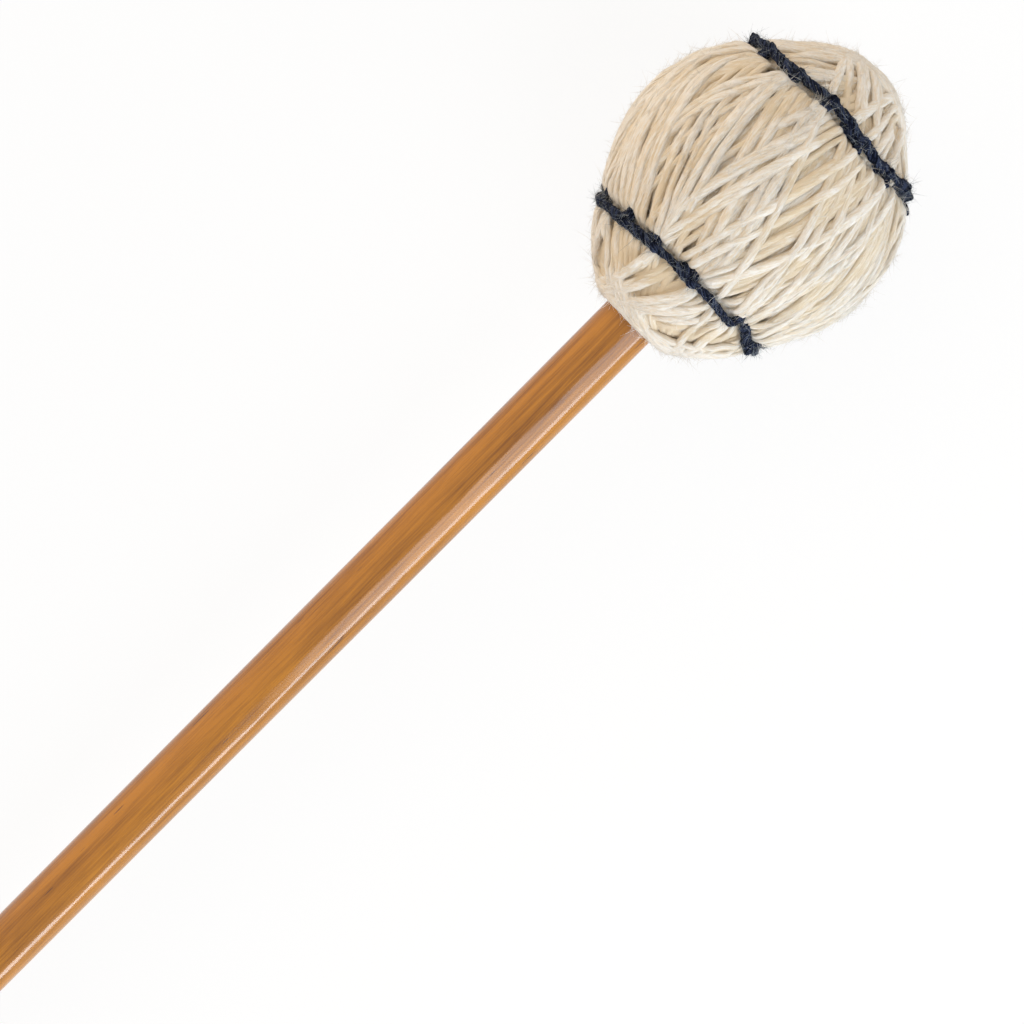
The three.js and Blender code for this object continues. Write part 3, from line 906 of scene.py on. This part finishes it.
def outside_spots(piece, random, total, deepest):
    """Random spots on the outer faces of a strand mesh, the ways out there and the ways
    along the strands."""
    mesh = piece.data
    corner = read(mesh.loops, "vertex_index", kind=int)
    first = read(mesh.polygons, "loop_start", kind=int)
    shown = read(mesh.attributes["depth"].data, "value")[corner[first]] < deepest
    spots = read(mesh.vertices, "co", 3)
    along = spots[corner[first + 1]] - spots[corner[first]]
    along /= np.maximum(np.linalg.norm(along, axis=1, keepdims=True), 1e-9)
    weights = read(mesh.polygons, "area") * shown
    chosen = random.choice(len(weights), total, p=weights / weights.sum())
    centre, out = read(mesh.polygons, "center", 3), read(mesh.polygons, "normal", 3)
    return centre[chosen], out[chosen], along[chosen]


# Stitching

THREAD_TWIST = 0.22  # turns for each millimetre
YARN_TWIST = 0.035


def yarn_radius(pieces, along, angle):
    """How far from the axis the outermost strand is, at a place round the head."""
    reach = 40
    far = Vector((MOUTH + along, -reach * math.sin(angle), reach * math.cos(angle)))
    start = Vector(to_world([far])[0])
    centre = Vector(to_world([(far.x, 0, 0)])[0])
    way = (centre - start).normalized()
    found = []
    for piece in pieces:
        hit, spot, _, _ = piece.ray_cast(start, way)
        if hit:
            found.append(reach - (spot - start).length / MM)
    return max(found, default=0.0)


def ring_table(pieces, ring):
    """The radius of the yarn round a ring, evened as a taut thread lies on it."""
    angles = np.linspace(0, math.tau, 96, endpoint=False)
    radii = np.array([yarn_radius(pieces, ring.at(angle), angle) for angle in angles])
    highest = np.max([np.roll(radii, shift) for shift in (-2, -1, 0, 1, 2)], axis=0)
    evened_radii = softened(np.tile(highest, 3), 3.0)[96:192]
    return np.append(angles, math.tau), np.append(evened_radii, evened_radii[0])


def thread_strand(points, thick, random):
    """A length of thread through (along, angle, radius) points."""
    along, angle, radius = np.asarray(points, float).T
    spots = np.column_stack([MOUTH + along, -radius * np.sin(angle), radius * np.cos(angle)])
    line = smooth_line(spots, 0.3)
    wobble = softened(random.normal(0, 1, len(line)), 3) * 3
    swell = thick / 2 * (1 + 0.14 * wobble)
    return {
        "centre": line,
        "out": unit(line * (0, 1, 1)),
        "tall": swell,
        "wide": swell,
        "phase": random.uniform(0, math.tau),
        "wobble": wobble,
        "depth": np.zeros(len(line)),
    }


def ring_of_stitches(pieces, ring, thread, random):
    """Blanket stitches round the head. Each comes out of the wool beside the last one,
    crosses it, runs round to the next, turns up its spur and goes back in."""
    table = ring_table(pieces, ring)
    rise = thread.diameter / MM / 2
    spur = thread.spur / MM
    strands = []
    for here, there in zip(ring.stitches, [*ring.stitches[1:], ring.stitches[0] + 360]):
        start, end = math.radians(here), math.radians(there)
        reach = spur * random.uniform(0.85, 1.2)
        lean = random.uniform(-0.6, 0.6)

        def at(turn, across, height, mid=start):
            angle = mid + turn / np.interp(mid % math.tau, *table)
            along = ring.at(angle) + ring.towards * across
            return along, angle, np.interp(angle % math.tau, *table) + height

        if here == ring.slanting:
            slant = reach + 0.6
            points = [at(-0.3, slant + 0.5, -0.9), at(0.1, slant, rise * 1.2)]
        else:
            slant, early = 0, random.uniform(0.3, 2.4)
            points = [
                at(-early - 0.8, 0.7, -1.2),
                at(-early, 0.75, rise * 0.5),
                at(-0.35, 0.45, rise * 0.9),
                at(0.15, -0.3, rise * 1.75),
            ]
        run = (end - start) * np.interp(start, *table)
        for far in np.arange(1.2, run - 1.6, 1.4):
            across = slant * max(0, 1 - far / 6.5) + random.uniform(-0.15, 0.15)
            lift = random.uniform(0.8, 1) + 0.2 * slant / (1 + far)
            points.append(at(far, across, rise * lift))
        tip = ring.at(end) + ring.towards * reach
        tip_radius = yarn_radius(pieces, tip, end) - rise * 0.35
        points += [
            at(-0.7, -0.1, rise * 0.9, end),
            at(0.05, 0.05, rise * 0.9, end),
            at(0.3, 0.75, rise * 0.95, end),
            (tip, end + lean / 18, tip_radius),
            (tip + ring.towards * 0.7, end + lean / 15, tip_radius - 1.6),
        ]
        strands.append(thread_strand(points, thread.diameter / MM, random))
    return strands


# Operators


def dressed(piece, material, slot, *nodes):
    """Gives a finished piece its material and its body, and hides the CAD nodes that it
    stands for. Its slot is not used."""
    piece.data.materials.append(material)
    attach(piece, "root")
    for name in nodes:
        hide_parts(name)
    return piece


def deselect():
    bpy.ops.object.select_all(action="DESELECT")


def new_primitive(add, name, **sizes):
    """Adds a primitive with nothing else selected, and names it."""
    deselect()
    add(**sizes)
    piece = bpy.context.active_object
    piece.name = piece.data.name = name
    return piece


def in_edit_mode(piece, step, *values):
    """Takes a step on a piece in edit mode."""
    bpy.context.view_layer.objects.active = piece
    bpy.ops.object.mode_set(mode="EDIT")
    step(*values)
    bpy.ops.object.mode_set(mode="OBJECT")


def select_faces(piece, wanted):
    """Selects just the faces that are wanted, in edit mode."""
    bpy.ops.mesh.select_all(action="DESELECT")
    bpy.ops.mesh.select_mode(type="FACE")
    shape = bmesh.from_edit_mesh(piece.data)
    for face in shape.faces:
        face.select_set(wanted(face))
    bmesh.update_edit_mesh(piece.data)


class MALLET_OT_inside(bpy.types.Operator):
    """Finish the core and the glue, which stay as the CAD model has them."""

    bl_idname = "mallet.inside"
    bl_label = "Core and Glue"
    rubber = (0.060, 0.052, 0.047), (0.030, 0.026, 0.024)  # where pale, and where deep
    glue = (0.800, 0.730, 0.480), (0.690, 0.600, 0.350)

    def execute(self, context):
        values = {"Roughness": 0.75}
        rubber = mottled_material("core_rubber", *self.rubber, values, 0.00005)
        values = {"Roughness": 0.4, "Coat Weight": 0.2}
        glue = mottled_material("cured_glue", *self.glue, values, 0.00002)
        for name, material in (("core", rubber), ("glue_sleeve", glue)):
            piece = frame["nodes"][name]
            piece.data.materials.clear()
            piece.data.materials.append(material)
        return {"FINISHED"}


class MALLET_OT_shaft(bpy.types.Operator):
    """Turn the rattan shaft, with its rounded butt and its bare end."""

    bl_idname = "mallet.shaft"
    bl_label = "Rattan Shaft"
    sides = 96
    tip_chamfer = 0.0006  # at the glued end
    parts = 82  # lengthwise, so that the round can be uneven
    wavy = 0.36  # how far from the butt face the waves go
    wave_fade = 0.01  # over which they start and end
    wave = 0.0022  # their height, of the radius
    dome = 0.00012  # of the bare end
    end_rings, end_ring = 5, 0.0006  # the rings of faces in that end, and their width

    def execute(self, context):
        sizes = context.scene.mallet_shaft
        radius = sizes.diameter / 2
        piece = new_primitive(
            bpy.ops.mesh.primitive_cylinder_add,
            "rattan_shaft",
            vertices=self.sides,
            radius=radius,
            depth=sizes.length,
            location=(0, 0, sizes.length / 2),
        )
        bpy.ops.object.transform_apply(location=True, rotation=True, scale=True)

        in_edit_mode(piece, self.round_edge, piece, -1, sizes.edge, 6)
        in_edit_mode(piece, self.round_edge, piece, 1, self.tip_chamfer, 1)
        in_edit_mode(piece, self.inset_end, piece)
        in_edit_mode(piece, self.cut_lengthwise, sizes.length)
        self.grow_uneven(piece, sizes)
        piece.data.transform(laid_from(BUTT_FACE))
        piece.data.shade_smooth()
        dressed(piece, rattan_material(sizes), "rattan", "shaft")
        piece.data.materials.append(end_grain_material(sizes))
        face_end = radius - 0.9 * sizes.edge
        for face in piece.data.polygons:
            from_butt = face.center - BUTT_FACE
            along = from_butt.dot(AXIS)
            if along < sizes.edge and (from_butt - AXIS * along).length < face_end:
                face.material_index = 1
        return {"FINISHED"}

    def round_edge(self, piece, facing, size, segments):
        """Rounds the edge of the end that faces down, -1, or up, 1."""
        select_faces(piece, lambda face: face.normal.z * facing > 0.9)
        bpy.ops.mesh.region_to_loop()
        bpy.ops.mesh.bevel(offset=size, segments=segments, affect="EDGES")

    def inset_end(self, piece):
        """Divides the bare end into rings."""
        select_faces(piece, lambda face: face.normal.z < -0.99)
        for _ in range(self.end_rings):
            bpy.ops.mesh.inset(thickness=self.end_ring)

    def cut_lengthwise(self, size):
        """Cuts the shaft square across at even places."""
        for part in range(1, self.parts):
            bpy.ops.mesh.select_all(action="SELECT")
            bpy.ops.mesh.bisect(plane_co=(0, 0, size * part / self.parts), plane_no=(0, 0, 1))

    def grow_uneven(self, piece, sizes):
        """Gives the round of the shaft the slight waves of real cane, and the bare end
        its dome."""
        for vertex in piece.data.vertices:
            x, y, z = vertex.co
            radius = math.hypot(x, y)
            if z > 2 * sizes.edge and z < self.wavy:
                turn = math.atan2(y, x)
                wave = math.sin(2 * turn + 31 * z + 1) + 0.7 * math.sin(3 * turn - 57 * z)
                wave += 0.8 * math.sin(5 * turn + 83 * z + 2)
                ends = z - 2 * sizes.edge, self.wavy - z
                fade = min(1, ends[0] / self.wave_fade, ends[1] / self.wave_fade)
                vertex.co.xy *= 1 + self.wave * fade * wave
            elif z < 0.5 * sizes.edge and radius < sizes.diameter / 2 - sizes.edge:
                share = radius / (sizes.diameter / 2 - sizes.edge)
                vertex.co.z -= self.dome * (1 - share**2)


class MALLET_OT_underwrap(bpy.types.Operator):
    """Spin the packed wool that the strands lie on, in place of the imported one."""

    bl_idname = "mallet.underwrap"
    bl_label = "Packed Wool"
    start = 2.2  # from the mouth, along the head's surface
    rings, sides = 90, 96
    cinch, cinch_reach = 1.6, 3  # under the stitched rings, beyond the strands' own
    clear = 0.3  # round the shaft

    def execute(self, context):
        head = HeadSurface()
        yarn = context.scene.mallet_yarn
        place = np.linspace(self.start, head.end, self.rings)
        depth = yarn.diameter / MM * np.ones(len(place))
        for ring in (head.collar, head.crown):
            depth += self.cinch * np.exp(-(((place - ring) / self.cinch_reach) ** 2))
        line, _ = head.points(place, np.zeros(len(place)), -depth)
        hole = context.scene.mallet_shaft.diameter / MM / 2 + self.clear
        line = line[line[:, 2] > hole]
        outline = [(x - line[0, 0], z) for x, z in line[:, (0, 2)]]
        outline = [(0, hole), *outline, (outline[-1][0] + 0.1, 0)]
        mesh = bpy.data.meshes.new("packed_wool")
        points = [(radius * MM, 0, along * MM) for along, radius in outline]
        mesh.from_pydata(points, [(i, i + 1) for i in range(len(points) - 1)], [])
        piece = linked("packed_wool", mesh)
        deselect()
        piece.select_set(True)
        in_edit_mode(piece, self.spin)
        mesh.transform(laid_from(Vector(to_world([(line[0, 0], 0, 0)])[0])))
        piece.data.shade_smooth()
        dressed(piece, packed_wool_material(yarn), "buried_yarn", "yarn_underwrap")
        return {"FINISHED"}

    def spin(self):
        """Turns the outline into a closed solid."""
        bpy.ops.mesh.select_all(action="SELECT")
        bpy.ops.mesh.spin(steps=self.sides, angle=math.tau, center=(0, 0, 0), axis=(0, 0, 1))
        bpy.ops.mesh.select_all(action="SELECT")
        bpy.ops.mesh.remove_doubles(threshold=0.000002)
        bpy.ops.mesh.fill_holes(sides=0)
        bpy.ops.mesh.normals_make_consistent(inside=False)


class MALLET_OT_winding(bpy.types.Operator):
    """Wind the wool yarn on the head, wrap by wrap, as it is wound by hand."""

    bl_idname = "mallet.winding"
    bl_label = "Wool Winding"
    parts = 5  # that the outer layer is kept in

    def execute(self, context):
        head = HeadSurface()
        yarn = context.scene.mallet_yarn
        strands = lay_yarn(head, yarn)
        settle_yarn(head, strands, yarn, context.scene.mallet_shaft.diameter / MM / 2)
        looks = {"twist": YARN_TWIST, "streaks": 0.8, "sheen": 0.3}
        material = strand_material("cream_yarn", yarn.cream, yarn.shade, **looks)
        buried = [s for s in strands if s["layer"] == "buried"]
        outer = [s for s in strands if s["layer"] == "outer"]
        piece = strand_object("buried_yarn", buried, sides=8, twist=YARN_TWIST, ply=0.08)
        dressed(piece, material, "buried_yarn", "yarn_underwrap")
        bounds = [part * len(outer) // self.parts for part in range(self.parts + 1)]
        for part in range(self.parts):
            share = outer[bounds[part] : bounds[part + 1]]
            name = f"outer_yarn_{part + 1}"
            piece = strand_object(name, share, sides=14, twist=YARN_TWIST, ply=0.06)
            dressed(piece, material, "cream_yarn", "yarn_winding")
        return {"FINISHED"}


def yarn_pieces():
    return [p for p in bpy.data.objects if p.name.startswith(("outer_yarn", "buried_yarn"))]


class MALLET_OT_stitching(bpy.types.Operator):
    """Sew the two rings of navy stitches round the winding."""

    bl_idname = "mallet.stitching"
    bl_label = "Navy Stitching"

    def execute(self, context):
        thread = context.scene.mallet_thread
        random = np.random.default_rng(context.scene.mallet_yarn.seed + 2)
        looks = {"twist": THREAD_TWIST, "streaks": 1.7, "sheen": 0.02}
        # The thread's side that faces in gets painted shade, towards the navy.
        material = strand_material("navy_thread", thread.rubbed, thread.navy, **looks)
        pieces = yarn_pieces()
        for name, ring in RINGS.items():
            strands = ring_of_stitches(pieces, ring, thread, random)
            shape = {"sides": 12, "twist": THREAD_TWIST, "ply": 0.13}
            piece = strand_object(f"{name}_stitches", strands, **shape)
            dressed(piece, material, "navy_thread", f"{name}_stitching")
        return {"FINISHED"}


class MALLET_OT_hairs(bpy.types.Operator):
    """Raise the loose fibres of the wool and of the thread."""

    bl_idname = "mallet.hairs"
    bl_label = "Loose Fibres"
    wool = {"longest": 0.0042, "thick": 0.000030, "stray": 0.55, "lift": 0.12, "curl": 0.18}
    navy = {"longest": 0.0026, "thick": 0.000025, "stray": 0.9, "lift": 0.2, "curl": 0.45}
    shown = 0.45  # how deep a spot of a wool strand may lie and still have hairs

    def execute(self, context):
        yarn, thread = context.scene.mallet_yarn, context.scene.mallet_thread
        random = np.random.default_rng(yarn.seed + 3)
        dim = tuple(0.7 * part for part in yarn.cream)
        material = hair_material("wool_hair", dim, yarn.cream)
        for part in yarn_pieces():
            if part.name.startswith("outer"):
                spots = outside_spots(part, random, yarn.hairs, self.shown)
                name = part.name.replace("yarn", "hairs")
                piece = hair_object(name, spots, random, **self.wool)
                dressed(piece, material, "cream_yarn", "yarn_winding")
        material = hair_material("navy_hair", thread.navy, thread.fuzz)
        for ring in RINGS:
            stitches = bpy.data.objects[f"{ring}_stitches"]
            spots = outside_spots(stitches, random, thread.hairs, 1.0)
            piece = hair_object(f"{ring}_hairs", spots, random, **self.navy)
            dressed(piece, material, "navy_thread", f"{ring}_stitching")
        return {"FINISHED"}


class MALLET_OT_studio(bpy.types.Operator):
    """Set the floor, the lights, the sky and the camera."""

    bl_idname = "mallet.studio"
    bl_label = "Studio"
    lamps_aim = Vector((0.1, 0, 0.02))
    key_box = (0.14, -0.66, 0.54), (0.7, 0.7)  # its place and its size
    key_strip = (-0.08, -0.66, 0.13), (0.75, 0.14)
    glow = 0.88  # how much of the floor's white, as seen, is its own
    slope = 1.9  # of the sky's light, from one side to the other

    def execute(self, context):
        stage = context.scene.mallet_stage
        floor = new_primitive(
            bpy.ops.mesh.primitive_circle_add, "floor", vertices=64, radius=3, fill_type="NGON"
        )
        floor.data.materials.append(self.floor_material(stage))
        self.light("key_box", stage.key, *self.key_box)
        self.light("key_strip", stage.strip, *self.key_strip)
        self.sky(context.scene, stage)
        deselect()
        bpy.ops.object.camera_add(location=stage.place, rotation=stage.turn)
        camera = context.active_object
        camera.name = "photo_camera"
        camera.data.lens = stage.lens
        camera.data.sensor_width = 36
        camera.data.clip_start = 0.01
        context.scene.camera = camera
        context.scene.view_settings.view_transform = "Standard"
        return {"FINISHED"}

    def light(self, name, watts, place, size):
        deselect()
        bpy.ops.object.light_add(type="AREA", location=place)
        lamp = bpy.context.active_object
        lamp.name = name
        way = self.lamps_aim - Vector(place)
        lamp.rotation_euler = way.to_track_quat("-Z", "Y").to_euler()
        lamp.data.shape = "RECTANGLE"
        lamp.data.size, lamp.data.size_y = size
        lamp.data.energy = watts
        lamp.data.color = bpy.context.scene.mallet_stage.clear

    def floor_material(self, stage):
        """A pale floor that looks white to the camera but for the shadow on it."""
        material, tree, shader = new_material("pale_floor", {"Roughness": 0.9})
        output = tree.nodes["Material Output"]
        mottle = use_group(tree, mottle_group(), Place=object_place(tree), Patch=4.0)
        dimmer = tuple(0.985 * part for part in stage.floor)
        pale = mixed(tree, mottle["Patches"], dimmer, stage.floor)
        feed(tree, shader.inputs["Base Color"], pale)
        seen = self.seen_plainly(tree)
        glow = node(tree, "ShaderNodeEmission", {"Strength": 1.0}).outputs[0]
        share = calc(tree, "MULTIPLY", seen, self.glow)
        both = node(tree, "ShaderNodeMixShader", {0: share, 1: shader.outputs[0], 2: glow})
        feed(tree, output.inputs["Surface"], both.outputs[0])
        return material

    def seen_plainly(self, tree):
        """1 for the camera, and for what is seen in gloss or through glass."""
        path = node(tree, "ShaderNodeLightPath").outputs
        some = calc(tree, "MAXIMUM", path["Is Camera Ray"], path["Is Glossy Ray"])
        return calc(tree, "MAXIMUM", some, path["Is Transmission Ray"])

    def sky(self, scene, stage):
        """A white background over a soft light that is brighter and warmer on the far
        side of the mallet."""
        world = bpy.data.worlds.new("studio_sky")
        world.use_nodes = True
        scene.world = world
        tree = world.node_tree
        seen = self.seen_plainly(tree)
        background = tree.nodes["Background"]
        far_side = node(tree, "ShaderNodeSeparateXYZ", {0: object_place(tree)}).outputs["Y"]
        tint = mixed(tree, span(tree, far_side, -0.6, 0.6), stage.cool, stage.warmth)
        feed(tree, background.inputs["Color"], mixed(tree, seen, tint, (1, 1, 1)))
        light = calc(tree, "MULTIPLY_ADD", far_side, self.slope * stage.sky, stage.sky)
        light = calc(tree, "MAXIMUM", light, 0)
        both = node(tree, "ShaderNodeMix", {0: seen, 2: light, 3: 1.0}).outputs[0]
        feed(tree, background.inputs["Strength"], both)


class MALLET_PT_panel(bpy.types.Panel):
    """The mallet's pieces and their settings."""

    bl_label = "Marimba Mallet"
    bl_idname = "MALLET_PT_panel"
    bl_space_type = "VIEW_3D"
    bl_region_type = "UI"
    bl_category = "Mallet"

    def draw(self, context):
        for title, settings, operators in (
            ("Shaft", "mallet_shaft", (MALLET_OT_inside, MALLET_OT_shaft)),
            ("Yarn", "mallet_yarn", (MALLET_OT_underwrap, MALLET_OT_winding)),
            ("Thread", "mallet_thread", (MALLET_OT_stitching, MALLET_OT_hairs)),
            ("Stage", "mallet_stage", (MALLET_OT_studio,)),
        ):
            box = self.layout.box()
            box.label(text=title)
            group = getattr(context.scene, settings)
            for key in group.__annotations__:
                box.prop(group, key)
            for operator in operators:
                box.operator(operator.bl_idname)


SETTINGS = {
    "mallet_shaft": MalletShaftSettings,
    "mallet_yarn": MalletYarnSettings,
    "mallet_thread": MalletThreadSettings,
    "mallet_stage": MalletStageSettings,
}
OPERATORS = (
    MALLET_OT_inside,
    MALLET_OT_shaft,
    MALLET_OT_underwrap,
    MALLET_OT_winding,
    MALLET_OT_stitching,
    MALLET_OT_hairs,
    MALLET_OT_studio,
)


def register():
    for each in (*SETTINGS.values(), *OPERATORS, MALLET_PT_panel):
        bpy.utils.register_class(each)
    for name, each in SETTINGS.items():
        setattr(bpy.types.Scene, name, PointerProperty(type=each))


def unregister():
    for name in SETTINGS:
        delattr(bpy.types.Scene, name)
    for each in (MALLET_PT_panel, *reversed(OPERATORS), *SETTINGS.values()):
        bpy.utils.unregister_class(each)


def corners(box):
    return [list(corner) for corner in box]


def main():
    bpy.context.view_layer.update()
    register()
    for operator in OPERATORS:
        family, name = operator.bl_idname.split(".")
        getattr(getattr(bpy.ops, family), name)()


if __name__ == "__main__":
    main()
